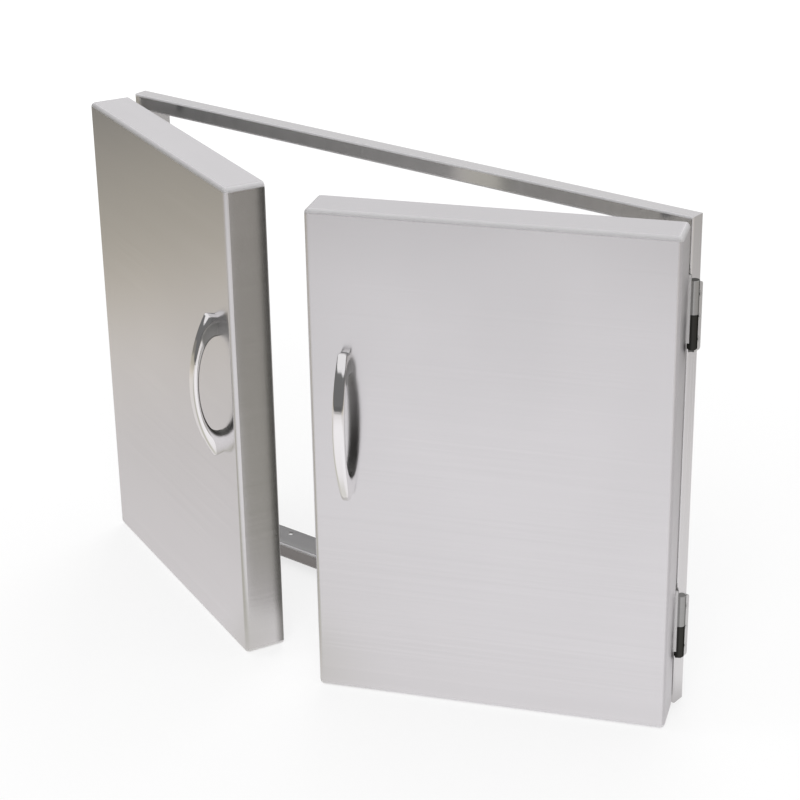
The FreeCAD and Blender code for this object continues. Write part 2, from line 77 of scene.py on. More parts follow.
def body_axes(body):
    """Across, inwards and up, as they lie on a body at rest."""
    spin = Matrix.Rotation(turn[body], 3, "Z")
    return spin @ Vector((1, 0, 0)), spin @ Vector((0, 1, 0)), Vector((0, 0, 1))


# %% [markdown]
# ## The camera
#
# The picture was taken from the right and above, with a long lens. The camera circles a point near the
# middle of the frame, so it is placed by two angles and a distance. The hand that held it leaned a
# little, and that roll is turned in last.

# %% Camera
camera_azimuth = math.radians(38.92)
camera_elevation = math.radians(23.71)
camera_roll = math.radians(-0.96)
camera_target = Vector((0.01061, -0.016, 0.23599))
camera_distance = 2.19044
camera_lens = 96.39

back = Vector((
    math.sin(camera_azimuth) * math.cos(camera_elevation),
    -math.cos(camera_azimuth) * math.cos(camera_elevation),
    math.sin(camera_elevation),
))
right = Vector((0, 0, 1)).cross(back).normalized()
up = back.cross(right)
rolled_right = math.cos(camera_roll) * right + math.sin(camera_roll) * up
rolled_up = math.cos(camera_roll) * up - math.sin(camera_roll) * right

camera_data = bpy.data.cameras.new("studio_camera")
camera_data.lens = camera_lens
camera_data.sensor_width = 36.0
camera_data.clip_start = 0.05
camera_data.clip_end = 50.0
camera = bpy.data.objects.new("studio_camera", camera_data)
bpy.context.scene.collection.objects.link(camera)
camera.matrix_world = Matrix.Translation(camera_target + camera_distance * back) @ Matrix((
    (rolled_right.x, rolled_up.x, back.x, 0),
    (rolled_right.y, rolled_up.y, back.y, 0),
    (rolled_right.z, rolled_up.z, back.z, 0),
    (0, 0, 0, 1),
))
bpy.context.scene.camera = camera
print("camera stands at", [round(value, 3) for value in camera.matrix_world.translation])

# %% [markdown]
# ## Short words for shader nodes
#
# A material is a small network of nodes. A few helpers keep each one readable. They add a node with
# its inputs set, pick out one coordinate, stretch one range of values to another, do one sum, blend
# two colours, mix two shaders, and start and end a network.

# %% Shader helpers
def node_of(tree, kind, **inputs):
    """A shader node with some of its inputs set."""
    node = tree.nodes.new(kind)
    for name, value in inputs.items():
        node.inputs[name.replace("_", " ")].default_value = value
    return node


def object_place(tree):
    """Where a point lies on its object, in metres."""
    return tree.nodes.new("ShaderNodeTexCoord").outputs["Object"]


def one_axis(tree, vector, axis):
    """One coordinate of a vector."""
    node = tree.nodes.new("ShaderNodeSeparateXYZ")
    tree.links.new(vector, node.inputs[0])
    return node.outputs[axis]


def remap(tree, value, start, end, low, high, smooth=False):
    """The value, with start..end stretched to low..high and held there."""
    node = tree.nodes.new("ShaderNodeMapRange")
    if smooth:
        node.interpolation_type = "SMOOTHSTEP"
    for name, number in (("From Min", start), ("From Max", end), ("To Min", low), ("To Max", high)):
        node.inputs[name].default_value = number
    tree.links.new(value, node.inputs["Value"])
    return node.outputs["Result"]


def arithmetic(tree, operation, first, second=0.0):
    """One sum on one or two values, each of which may be a plain number."""
    node = tree.nodes.new("ShaderNodeMath")
    node.operation = operation
    for socket, value in zip(node.inputs, (first, second)):
        if isinstance(value, (int, float)):
            socket.default_value = value
        else:
            tree.links.new(value, socket)
    return node.outputs[0]


def blend_colours(tree, factor, first, second, kind="MIX"):
    """A colour between two colours, by a factor from 0 to 1, or the first one tinted by the second."""
    node = tree.nodes.new("ShaderNodeMix")
    node.data_type = "RGBA"
    node.blend_type = kind
    for name, value in (("A", first), ("B", second)):
        if isinstance(value, (tuple, list)):
            node.inputs[name].default_value = (*value[:3], 1.0)
        else:
            tree.links.new(value, node.inputs[name])
    tree.links.new(factor, node.inputs["Factor"])
    return node.outputs["Result"]


def mix_shaders(tree, factor, first, second):
    """One shader where the factor is 0, the other where it is 1."""
    node = tree.nodes.new("ShaderNodeMixShader")
    for socket, value in zip(node.inputs, (factor, first, second)):
        tree.links.new(value, socket)
    return node.outputs[0]


def empty_network(block):
    """The node network of a new material or world, with nothing in it."""
    block.use_nodes = True
    block.node_tree.nodes.clear()
    return block.node_tree


def end_with(tree, kind, surface):
    """Sends the finished shader to the network's output."""
    tree.links.new(surface, tree.nodes.new(kind).inputs["Surface"])


# %% [markdown]
# ## The studio
#
# Bright metal shows its surroundings more than its own colour, so the surroundings are the light. They
# are drawn with soft ovals and with ramps of a few tones, which need no image and can be tuned one
# number at a time. A Mapping node of the kind Texture moves, turns and shrinks the coordinates until
# an oval is a circle of radius 1. The length of what comes out says how far off its centre a point is.

# %% Ovals and ramps
def oval_distance(tree, place, centre, shape, turned=0.0):
    """Distance from a centre, measured in the half sizes of an oval."""
    level = node_of(tree, "ShaderNodeMapping", Location=centre, Rotation=(0, 0, turned), Scale=shape)
    level.vector_type = "TEXTURE"
    tree.links.new(place, level.inputs["Vector"])
    length = tree.nodes.new("ShaderNodeVectorMath")
    length.operation = "LENGTH"
    tree.links.new(level.outputs[0], length.inputs[0])
    return length.outputs["Value"]


def soft_patch(tree, place, centre, shape, core, turned=0.0):
    """1 in the core of an oval patch, fading to 0 at its rim."""
    out = oval_distance(tree, place, centre, shape, turned)
    return remap(tree, out, core, 1.0, 1.0, 0.0, smooth=True)


def tone_ramp(tree, value, reach, tones):
    """A colour that runs through several tones as a value grows from nothing to its reach."""
    ramp = tree.nodes.new("ShaderNodeValToRGB")
    stops = ramp.color_ramp.elements
    stops.remove(stops[-1])
    places = sorted(tones)
    stops[0].position = places[0] / reach
    stops[0].color = (*tones[places[0]], 1.0)
    for at in places[1:]:
        stops.new(at / reach).color = (*tones[at], 1.0)
    tree.links.new(remap(tree, value, 0.0, reach, 0.0, 1.0), ramp.inputs["Fac"])
    return ramp.outputs["Color"]


# %% [markdown]
# In the metal's reflection the floor is a lit oval pool that reaches far out in front of the doors and
# falls off sideways to a warm grey. A ramp of a few tones sets how it falls off. A long soft patch of
# shade lies where the two open doors look at each other, and a small one lies under the frame.

# %% The floor in the metal's reflection
pool_centre = (0.45, -0.8, 0.0)
pool_shape = (1.0, 2.0, 1.0)
pool_reach = 2.6
pool_tones = {
    0.30: (0.95, 0.935, 0.95),
    0.50: (0.86, 0.84, 0.845),
    0.80: (0.775, 0.75, 0.75),
    1.10: (0.725, 0.70, 0.69),
    1.40: (0.745, 0.71, 0.675),
    1.60: (0.64, 0.595, 0.525),
    1.85: (0.48, 0.45, 0.385),
    2.05: (0.48, 0.45, 0.385),
    2.30: (0.43, 0.405, 0.35),
    2.60: (0.24, 0.23, 0.21),
}
shade_centre = (-0.44, -0.70, 0.0)
shade_shape = (0.80, 0.22, 1.0)
shade_turn = math.radians(46)
shade_core = 0.65
shade_tint = (0.67, 0.68, 0.60)
sill_centre = (0.0, -0.02, 0.0)
sill_shape = (0.45, 0.10, 1.0)
sill_core = 0.5
sill_tint = (0.31, 0.30, 0.29)
back_edge, back_end, back_dim = 0.35, 1.4, 0.35
front_edge, front_end = 2.3, 3.1
far_tone = (0.12, 0.12, 0.12)


def lit_pool(tree):
    """The floor as the metal sees it: a bright pool, dimmer far off and between the doors."""
    place = object_place(tree)
    depth = one_axis(tree, place, "Y")
    pool = tone_ramp(tree, oval_distance(tree, place, pool_centre, pool_shape), pool_reach, pool_tones)
    under_frame = soft_patch(tree, place, sill_centre, sill_shape, sill_core)
    grounded = blend_colours(tree, under_frame, pool, sill_tint, "MULTIPLY")
    between_doors = soft_patch(tree, place, shade_centre, shade_shape, shade_core, shade_turn)
    shaded = blend_colours(tree, between_doors, grounded, shade_tint, "MULTIPLY")
    behind = remap(tree, depth, back_edge, back_end, 0.0, back_dim, smooth=True)
    dimmed = blend_colours(tree, behind, shaded, far_tone)
    forward = remap(tree, depth, -front_edge, -front_end, 0.0, 1.0, smooth=True)
    return blend_colours(tree, forward, dimmed, far_tone)


# %% [markdown]
# To the eye the floor is white paper. It keeps the doors' soft shadow and fades into the white backdrop
# further off, so that no horizon shows. The Light Path node tells the two floors apart, because it
# knows whether a ray comes from the camera or from a glossy surface.

# %% Floor
floor_size = 12.0
paper_tone = (0.84, 0.84, 0.84)
paper_glow = 1.12
glow_near, glow_far = 0.6, 1.0
fade_start, fade_end = 0.6, 2.2


def studio_floor():
    """A plane under everything: white to the eye with a soft shadow, a lit pool to the metal."""
    bpy.ops.mesh.primitive_plane_add(size=floor_size, location=(0, 0, 0))
    floor = bpy.context.active_object
    floor.name = "studio_floor"
    material = bpy.data.materials.new("pale_floor")
    tree = empty_network(material)
    paper = node_of(tree, "ShaderNodeBsdfDiffuse", Color=(*paper_tone, 1)).outputs[0]
    glow = node_of(tree, "ShaderNodeEmission", Color=(1, 1, 1, 1), Strength=paper_glow).outputs[0]
    away = oval_distance(tree, object_place(tree), (0, 0, 0), (1, 1, 1))
    glow_share = remap(tree, away, fade_start, fade_end, glow_near, glow_far, smooth=True)
    seen = mix_shaders(tree, glow_share, paper, glow)
    pool = node_of(tree, "ShaderNodeEmission", Strength=1.0)
    tree.links.new(lit_pool(tree), pool.inputs["Color"])
    path = tree.nodes.new("ShaderNodeLightPath").outputs
    for_camera = mix_shaders(tree, path["Is Camera Ray"], paper, seen)
    for_metal = mix_shaders(tree, path["Is Glossy Ray"], for_camera, pool.outputs[0])
    end_with(tree, "ShaderNodeOutputMaterial", for_metal)
    floor.data.materials.append(material)


studio_floor()
print("floor:", floor_size, "m square")

# %% [markdown]
# Photographers stand a dark card, a flag, where a piece of metal would otherwise mirror too much
# light. One low flag stands behind the frame here. The slim rails and the backs of the doors look
# towards it, while the tops of the doors look over it. Only a reflection can see it.

# %% Flag
flag_left, flag_right = -1.3, 0.10
flag_behind = 0.6
flag_height = 0.55
flag_tones = {
    0.30: (0.40, 0.395, 0.39),
    0.50: (0.13, 0.13, 0.13),
    1.00: (0.135, 0.135, 0.135),
    1.35: (0.25, 0.245, 0.24),
}


def deselect_everything():
    """Leaves nothing selected, so that an operator acts only on what is added next."""
    bpy.ops.object.select_all(action="DESELECT")


def studio_flag():
    """An upright card behind the frame, lighter at its ends, for reflections only."""
    deselect_everything()
    width = flag_right - flag_left
    bpy.ops.mesh.primitive_plane_add(size=1, location=(0, 0, 0))
    flag = bpy.context.active_object
    flag.name = "studio_flag"
    flag.data.transform(Matrix.Diagonal((width, flag_height, 1, 1)))
    flag.data.transform(Matrix.Rotation(math.radians(90), 4, "X"))
    flag.data.transform(Matrix.Translation((flag_left + width / 2, flag_behind, flag_height / 2)))
    material = bpy.data.materials.new("grey_card")
    tree = empty_network(material)
    along = arithmetic(tree, "SUBTRACT", one_axis(tree, object_place(tree), "X"), flag_left)
    card = node_of(tree, "ShaderNodeEmission", Strength=1.0)
    tree.links.new(tone_ramp(tree, along, width, flag_tones), card.inputs["Color"])
    end_with(tree, "ShaderNodeOutputMaterial", card.outputs[0])
    flag.data.materials.append(material)
    flag.visible_camera = False
    flag.visible_diffuse = False
    flag.visible_shadow = False
    flag.visible_transmission = False


studio_flag()
print("flag:", round(flag_right - flag_left, 2), "m wide and", flag_height, "m high")

# %% [markdown]
# The room beyond the floor is dark up to a bright ceiling. That dark belt draws the dark lines in the
# polished handles. It stands higher in front of the doors than behind them, so that the folds along
# the tops of the doors still look at the ceiling.

# %% World
dome_strength = 0.72
room_dark = (0.16, 0.16, 0.16)
ceiling_bright = (0.84, 0.83, 0.84)
belt_lean = 0.20
belt_start, belt_end = 0.24, 0.32


def studio_world():
    """White for the eye, plain grey for the light, a dark room under a bright ceiling for the metal."""
    world = bpy.data.worlds.new("studio_world")
    tree = empty_network(world)
    dome = node_of(tree, "ShaderNodeBackground", Color=(1, 1, 1, 1), Strength=dome_strength).outputs[0]
    white = node_of(tree, "ShaderNodeBackground", Color=(1, 1, 1, 1), Strength=1.0).outputs[0]
    room = node_of(tree, "ShaderNodeBackground", Strength=1.0)
    outlook = tree.nodes.new("ShaderNodeTexCoord").outputs["Generated"]
    backwards = arithmetic(tree, "MULTIPLY", one_axis(tree, outlook, "Y"), belt_lean)
    height = arithmetic(tree, "ADD", one_axis(tree, outlook, "Z"), backwards)
    rise = remap(tree, height, belt_start, belt_end, 0.0, 1.0, smooth=True)
    tree.links.new(blend_colours(tree, rise, room_dark, ceiling_bright), room.inputs["Color"])
    path = tree.nodes.new("ShaderNodeLightPath").outputs
    for_metal = mix_shaders(tree, path["Is Glossy Ray"], dome, room.outputs[0])
    for_camera = mix_shaders(tree, path["Is Camera Ray"], for_metal, white)
    end_with(tree, "ShaderNodeOutputWorld", for_camera)
    bpy.context.scene.world = world


studio_world()
bpy.context.scene.view_settings.view_transform = "Standard"
print("the dark belt ends about", round(math.degrees(math.asin(belt_end))), "degrees up")

# %% [markdown]
# Three square lamps model the folds and throw the soft shadow: a strong one from the right in front,
# a weak one from the left and one from behind. The metal doesn't mirror them, because a hard bright
# square in a brushed door would say more about the lamp than about the door.

# %% Lamps
lamp_plan = {
    "key_softbox": ((1.4, -2.2, 2.4), 1.8, 30.0),
    "fill_softbox": ((-2.2, -1.6, 1.6), 1.6, 10.0),
    "back_softbox": ((-0.8, 1.8, 2.2), 1.6, 14.0),
}


def softbox(name, place, size, power):
    """A square lamp that faces the middle of the doors and isn't mirrored in the metal."""
    data = bpy.data.lights.new(name, "AREA")
    data.shape = "SQUARE"
    data.size = size
    data.energy = power
    lamp = bpy.data.objects.new(name, data)
    lamp.location = place
    lamp.rotation_euler = (camera_target - Vector(place)).to_track_quat("-Z", "Y").to_euler()
    lamp.visible_glossy = False
    bpy.context.scene.collection.objects.link(lamp)


for name, (place, size, power) in lamp_plan.items():
    softbox(name, place, size, power)
print("lamps:", len(lamp_plan))

# %% [markdown]
# ## Brushed stainless steel
#
# A belt leaves fine straight scratches, all in one direction. Close by they are a faint grain; from
# further off they smear each reflection across the grain and leave it sharp along it. Two things make
# that here. The shader's anisotropy stretches the reflection, and its tangent is one fixed direction
# for the whole sheet, so the smear stays true round the folds.

# %% Directions on a sheet
tangent_lean = 0.02


def new_material(name, metal):
    """A new material, its network and its main shader, all metal at 1 and none at 0."""
    material = bpy.data.materials.new(name)
    material.use_nodes = True
    shader = material.node_tree.nodes["Principled BSDF"]
    shader.inputs["Metallic"].default_value = metal
    return material, material.node_tree, shader


def sheet_coordinates(tree, body):
    """Object coordinates turned to lie along a body's own directions."""
    level = node_of(tree, "ShaderNodeMapping", Rotation=(0, 0, turn[body]))
    level.vector_type = "TEXTURE"
    tree.links.new(object_place(tree), level.inputs["Vector"])
    return level.outputs[0]


def smear_direction(tree, body, grain):
    """The direction across the grain, as a fixed vector on the sheet."""
    across, inwards, upwards = body_axes(body)
    main = upwards if grain == "across" else across
    lean = main + tangent_lean * inwards
    node = node_of(tree, "ShaderNodeCombineXYZ", X=lean.x, Y=lean.y, Z=lean.z)
    return node.outputs[0]


for body in turn:
    print("across the", body, "is", [round(value, 3) for value in body_axes(body)[0]])

# %% [markdown]
# The faint grain is a noise drawn out along the brushing, fine for the scratches and coarse for the
# bands that a worn belt leaves. On a face that looks up, the grain runs along the fold. The noise
# varies the tone and the roughness a little, and lifts a bump of a few thousandths of a millimetre.

# %% Scratches
noise_roughness = 0.55
grain_run = 3.0
grain_pitch, grain_detail = 620.0, 2.0
band_pitch, band_detail = 70.0, 1.0
upright_until, flat_from = 0.4, 0.8


def noise(tree, vector, scale, detail=2.0):
    """Cloudy grey noise at a scale per metre."""
    node = node_of(tree, "ShaderNodeTexNoise", Scale=scale, Detail=detail, Roughness=noise_roughness)
    tree.links.new(vector, node.inputs["Vector"])
    return node.outputs["Fac"]


def stretched(tree, vector, scale):
    """Coordinates stretched by a different amount along each axis."""
    node = node_of(tree, "ShaderNodeMapping", Scale=scale)
    tree.links.new(vector, node.inputs["Vector"])
    return node.outputs[0]


def blend_values(tree, factor, first, second):
    """A value between two values, either of which may be a plain number."""
    node = tree.nodes.new("ShaderNodeMix")
    tree.links.new(factor, node.inputs["Factor"])
    for name, value in (("A", first), ("B", second)):
        if isinstance(value, (int, float)):
            node.inputs[name].default_value = value
        else:
            tree.links.new(value, node.inputs[name])
    return node.outputs["Result"]


def grain_scale(grain, pitch):
    """How a pattern is drawn out: slow along the grain, quick across it."""
    return (grain_run, grain_run, pitch) if grain == "across" else (pitch, pitch, grain_run)


def top_grain_scale(pitch):
    """The same on a face that looks up, where the grain runs along the fold."""
    return (grain_run, pitch, grain_run)


def steepness(tree):
    """0 on an upright face, 1 on a face that looks straight up or down."""
    normal = tree.nodes.new("ShaderNodeNewGeometry").outputs["Normal"]
    return arithmetic(tree, "ABSOLUTE", one_axis(tree, normal, "Z"))


def scratches(tree, place, grain, pitch, detail):
    """Streaks along the grain, on upright faces and on faces that look up."""
    upright = noise(tree, stretched(tree, place, grain_scale(grain, pitch)), 1.0, detail)
    flat = noise(tree, stretched(tree, place, top_grain_scale(pitch)), 1.0, detail)
    looks_up = remap(tree, steepness(tree), upright_until, flat_from, 0.0, 1.0)
    return blend_values(tree, looks_up, upright, flat)


print("grain:", round(1000 / grain_pitch, 1), "mm across it and", round(1000 / grain_run), "mm along it")

# %% [markdown]
# Three places differ. The press opens the grain along the top and bottom folds, so they are much
# rougher than the flats, and they are also painted paler, as painted light. The narrow wall beside the
# hinges misses the belt and is rougher too. And the free edge of each door is painted darker towards
# its back rim, as painted shade. A fold is found by how far its face leans, and a wall by where it
# stands, which is measured on the door's own mesh.

# %% Folds, hinge walls and free edges
fold_start, fold_full = 0.04, 0.16
fold_fades, fold_ends = 0.90, 0.99
rim_width = 0.011
edge_skin = 0.003


def node_points(name):
    """Every corner of a construction node's mesh."""
    return [vertex.co.copy() for vertex in frame["nodes"][name].data.vertices]


def door_walls(body):
    """A door's free wall, hinge wall and back rim, in its own directions, and its free wall's side."""
    across, inwards, _ = body_axes(body)
    points = node_points(body.replace("door", "outer_pan"))
    side = 1 if body.startswith("left") else -1
    reach = [side * point.dot(across) for point in points]
    return side * max(reach), side * min(reach), max(point.dot(inwards) for point in points), side


def on_a_fold(tree):
    """1 on the folds along the top and the bottom of a sheet, 0 on its flats."""
    tilt = steepness(tree)
    return arithmetic(tree, "MULTIPLY", remap(tree, tilt, fold_start, fold_full, 0.0, 1.0),
                      remap(tree, tilt, fold_fades, fold_ends, 1.0, 0.0))


def at_wall(tree, place, wall, side):
    """1 on the upright wall of a door that stands at this place across it and faces this side."""
    start, full = wall - side * edge_skin, wall - side * edge_skin / 2
    return remap(tree, one_axis(tree, place, "X"), start, full, 0.0, 1.0)


def at_rim(tree, place, rim_depth):
    """1 at the back rim of a door, fading out over the rim's width."""
    depth = one_axis(tree, place, "Y")
    return remap(tree, depth, rim_depth - rim_width, rim_depth, 0.0, 1.0, smooth=True)


for body in sorted(hinge):
    free_wall, hinge_wall, rim_depth, side = door_walls(body)
    print(body, "is", round(abs(free_wall - hinge_wall), 4), "m wide")

# %% [markdown]
# Now the sheet's material. Scratches and bands are added in their shares and shade the tone a little.
# Large soft patches join them for the roughness, because no sheet is brushed or handled evenly. The
# worn places, the painted light on the folds and the painted shade at the back rims go on last, over
# the pattern.

# %% Brushed steel
sheet_shine = 0.85
fine_share, band_share = 0.6, 0.4
streak_low, streak_high = 0.3, 0.7
dark_streak, light_streak = 0.965, 1.025
patch_scale = 6.0
streak_wear, patch_wear = 0.5, 0.5
wear_low, wear_high = 0.35, 0.65
smoothest, roughest = 0.88, 1.12
# Painted light: the folds get this paler tone than the flats.
painted_fold_light = (0.98, 0.975, 0.98)
fold_roughness = 0.55
hinge_wall_roughness = 0.48
# Painted shade: this tint darkens the back rim of each door's free edge.
rim_painted_shade = (0.36, 0.36, 0.34)


def weighted(tree, first, first_share, second, second_share):
    """Two patterns added in their shares."""
    return arithmetic(tree, "ADD", arithmetic(tree, "MULTIPLY", first, first_share),
                      arithmetic(tree, "MULTIPLY", second, second_share))


def shaded_tone(tone, share):
    """A tone made darker or lighter."""
    return [value * share for value in tone]


def lifted(tree, pattern, depth, under=None):
    """A surface lifted by a pattern up to a depth in metres, on top of another such surface."""
    bump = node_of(tree, "ShaderNodeBump", Strength=1.0, Distance=depth)
    tree.links.new(pattern, bump.inputs["Height"])
    if under:
        tree.links.new(under, bump.inputs["Normal"])
    return bump.outputs[0]


def brushed_steel(name, body, tone, roughness, depth, grain="across", walls=None):
    """Stainless sheet with its grain running across the door, or up it."""
    material, tree, shader = new_material(name, 1.0)
    shader.inputs["Anisotropic"].default_value = sheet_shine
    tree.links.new(smear_direction(tree, body, grain), shader.inputs["Tangent"])
    place = sheet_coordinates(tree, body)
    fine = scratches(tree, place, grain, grain_pitch, grain_detail)
    bands = scratches(tree, place, grain, band_pitch, band_detail)
    streaks = weighted(tree, fine, fine_share, bands, band_share)
    shade = remap(tree, streaks, streak_low, streak_high, 0.0, 1.0)
    colour = blend_colours(tree, shade, shaded_tone(tone, dark_streak), shaded_tone(tone, light_streak))
    wear = weighted(tree, streaks, streak_wear, noise(tree, place, patch_scale), patch_wear)
    rough = remap(tree, wear, wear_low, wear_high, roughness * smoothest, roughness * roughest)
    if walls:
        free_wall, hinge_wall, rim_depth, side = walls
        on_free_wall = at_wall(tree, place, free_wall, side)
        # Painted shade darkens the free edge towards its back rim.
        shaded_back_rim = arithmetic(tree, "MULTIPLY", on_free_wall, at_rim(tree, place, rim_depth))
        colour = blend_colours(tree, shaded_back_rim, colour, rim_painted_shade, "MULTIPLY")
        on_hinge_wall = at_wall(tree, place, hinge_wall, -side)
        rough = blend_values(tree, on_hinge_wall, rough, hinge_wall_roughness)
    fold = on_a_fold(tree)
    # Painted light: the folds turn paler.
    tree.links.new(blend_colours(tree, fold, colour, painted_fold_light), shader.inputs["Base Color"])
    tree.links.new(blend_values(tree, fold, rough, fold_roughness), shader.inputs["Roughness"])
    tree.links.new(lifted(tree, fine, depth), shader.inputs["Normal"])
    return material


# %% [markdown]
# ## Polished handles
#
# The bow handles are cast and then polished, but a polishing wheel doesn't reach the side that faces
# the door: inside the grip space the bar is left dull, as cast. Its darker colour there, darkest at the
# bottom, is painted shade.
# The grip space is an upright oval, so the distance from the oval's middle, measured in its own half
# sizes, is 1 on that inner side and more everywhere else. The oval's middle is measured on the handle's
# own mesh.

# %% Grip space
grip_centre_off_door = 0.0015
grip_half_depth = 0.0210
grip_half_height = 0.0510
no_limit = 1000.0


def middle_along(points, direction):
    """Half way between the lowest and the highest point along a direction."""
    reach = [point.dot(direction) for point in points]
    return (min(reach) + max(reach)) / 2


def grip_centre(node_name, body):
    """The middle of a handle's oval grip space."""
    across, inwards, upwards = body_axes(body)
    points = node_points(node_name)
    depth = max(point.dot(inwards) for point in points) - grip_centre_off_door
    return (across * middle_along(points, across) + inwards * depth
            + upwards * middle_along(points, upwards))


def within(tree, centre, body, half_sizes):
    """Distance from a centre, measured in half sizes along a body's own directions."""
    return oval_distance(tree, object_place(tree), centre, half_sizes, turn[body])


for handle in ("left_handle", "right_handle"):
    centre = grip_centre(handle, body_of_node(handle))
    print("grip space of", handle, "is centred at", [round(value, 4) for value in centre])

# %% [markdown]
# Beside the upper foot the dull part, with its painted shade, reaches further out, over most of the
# bar's flat side. Polishing also leaves the flat sides of the bar a little crowned. The same distance
# serves again: a low dome across each side, as a bump, turns its reflection over from rim to rim.

# %% Polished steel with a dull inner side in painted shade
dull_and_shaded_until, polished_from = 1.02, 1.12
foot_start, foot_end, foot_reach = 0.040, 0.056, 0.24
polished_tone = (0.90, 0.89, 0.89)
polished_roughness = 0.06
polish_stretch = (1200.0, 1200.0, 60.0)
polish_dark = 0.97
polish_line_roughness = 0.05
# Painted shade: the inner side's colour, darkest at the bottom and lighter at the top.
painted_shade_bottom, painted_shade_top = (0.17, 0.17, 0.16), (0.40, 0.40, 0.39)
painted_shade_fade = 0.035
as_cast_roughness = 0.42
pit_scale = 900.0
pit_tint = (0.75, 0.75, 0.75)
pit_depth = 0.00001
crown_middle, crown_half, crown_height = 1.17, 0.18, 0.0008


def crown_of(tree, oval):
    """The low dome on the bar's flat sides: 1 along their middle, 0 at their rims, less further out."""
    off_middle = remap(tree, oval, crown_middle - crown_half, crown_middle + 2 * crown_half, -1.0, 2.0)
    return arithmetic(tree, "SUBTRACT", 1.0, arithmetic(tree, "MULTIPLY", off_middle, off_middle))


def handle_steel(name, node_name, body):
    """Mirror-bright outside, dull inside the grip space, with painted shade there."""
    material, tree, shader = new_material(name, 1.0)
    centre = grip_centre(node_name, body)
    oval = within(tree, centre, body, (no_limit, grip_half_depth, grip_half_height))
    place = sheet_coordinates(tree, body)
    height = arithmetic(tree, "SUBTRACT", one_axis(tree, place, "Z"), centre.z)
    by_foot = remap(tree, height, foot_start, foot_end, 0.0, foot_reach, smooth=True)
    off_dull_and_shaded_side = arithmetic(tree, "SUBTRACT", oval, by_foot)
    polished = remap(tree, off_dull_and_shaded_side, dull_and_shaded_until, polished_from, 0.0, 1.0, smooth=True)
    polish_lines = noise(tree, stretched(tree, place, polish_stretch), 1.0)
    bright = blend_colours(tree, polish_lines, shaded_tone(polished_tone, polish_dark), polished_tone)
    pits = noise(tree, place, pit_scale)
    # Painted shade inside the grip space, darker towards the bottom, with pits over it.
    upper = remap(tree, height, -painted_shade_fade, painted_shade_fade, 0.0, 1.0, smooth=True)
    inner_painted_shade = blend_colours(tree, upper, painted_shade_bottom, painted_shade_top)
    dull = blend_colours(tree, pits, inner_painted_shade, pit_tint, "MULTIPLY")
    tree.links.new(blend_colours(tree, polished, dull, bright), shader.inputs["Base Color"])
    evenly = remap(tree, polished, 0.0, 1.0, as_cast_roughness, polished_roughness)
    by_lines = arithmetic(tree, "MULTIPLY", polish_lines, polish_line_roughness)
    tree.links.new(arithmetic(tree, "ADD", evenly, by_lines), shader.inputs["Roughness"])
    unpolished = remap(tree, polished, 0.0, 1.0, 1.0, 0.0)
    pitted = lifted(tree, arithmetic(tree, "MULTIPLY", pits, unpolished), pit_depth)
    crowned = lifted(tree, crown_of(tree, oval), crown_height, under=pitted)
    tree.links.new(crowned, shader.inputs["Normal"])
    return material


# %% [markdown]
# ## Hinge steel
#
# The leaves are satin plate. The knuckles are turned tube with fine rings from the lathe, and their
# darker tone is painted shade. Both belong to one piece of steel, so one material serves: it measures
# the distance from the pin's line and changes over at the knuckle's rim. Smooth metal mirrors almost
# white at a low angle. Here that glint is tinted away, which is painted shade along the knuckles' rims.

# %% Hinge steel
knuckle_rim = 0.0050
rim_changeover = 1.12
ring_stretch = (20.0, 20.0, 1400.0)
ring_dark = 0.85
ring_roughness = 0.06
ring_depth = 0.000006
leaf_tone = (0.86, 0.86, 0.85)
leaf_roughness = 0.30
satin_stretch = (500.0, 500.0, 30.0)
satin_dark = 0.95
# Painted shade: the low-angle glint is tinted black, which darkens the knuckles' rims.
painted_edge_shade = (0.0, 0.0, 0.0, 1.0)


def hinge_steel(name, body, knuckle_tone, knuckle_roughness):
    """Satin leaf, turned knuckle in a darker painted shade."""
    material, tree, shader = new_material(name, 1.0)
    shader.inputs["Specular Tint"].default_value = painted_edge_shade
    side = "left_door" if "left" in name else "right_door"
    pin_line = Vector(hinge[side]["pos_m"])
    line = within(tree, pin_line, body, (knuckle_rim, knuckle_rim, no_limit))
    leaf = remap(tree, line, 1.0, rim_changeover, 0.0, 1.0, smooth=True)
    place = sheet_coordinates(tree, body)
    rings = noise(tree, stretched(tree, place, ring_stretch), 1.0)
    satin = noise(tree, stretched(tree, place, satin_stretch), 1.0)
    # The knuckle's darker tone is painted shade. The rings are its own texture.
    knuckle_shade = blend_colours(tree, rings, shaded_tone(knuckle_tone, ring_dark), knuckle_tone)
    leaf_shade = blend_colours(tree, satin, shaded_tone(leaf_tone, satin_dark), leaf_tone)
    tree.links.new(blend_colours(tree, leaf, knuckle_shade, leaf_shade), shader.inputs["Base Color"])
    evenly = remap(tree, leaf, 0.0, 1.0, knuckle_roughness, leaf_roughness)
    by_rings = arithmetic(tree, "MULTIPLY", rings, ring_roughness)
    tree.links.new(arithmetic(tree, "ADD", evenly, by_rings), shader.inputs["Roughness"])
    tree.links.new(lifted(tree, rings, ring_depth), shader.inputs["Normal"])
    return material


print("a knuckle ends", round(knuckle_rim * 1000, 1), "mm from its pin's line")

# %% [markdown]
# ## The plainer finishes
#
# Zinc plating is a cloudy, slightly blue grey. The magnets are dark and finely granular, their
# carriers are black moulded plastic with a fine spark-eroded skin, the washers are black nylon and
# the bumpers are soft rubber with a bloom on it. Each one is a base tone, a cloud of a second tone
# and a bump at the size of its own texture.

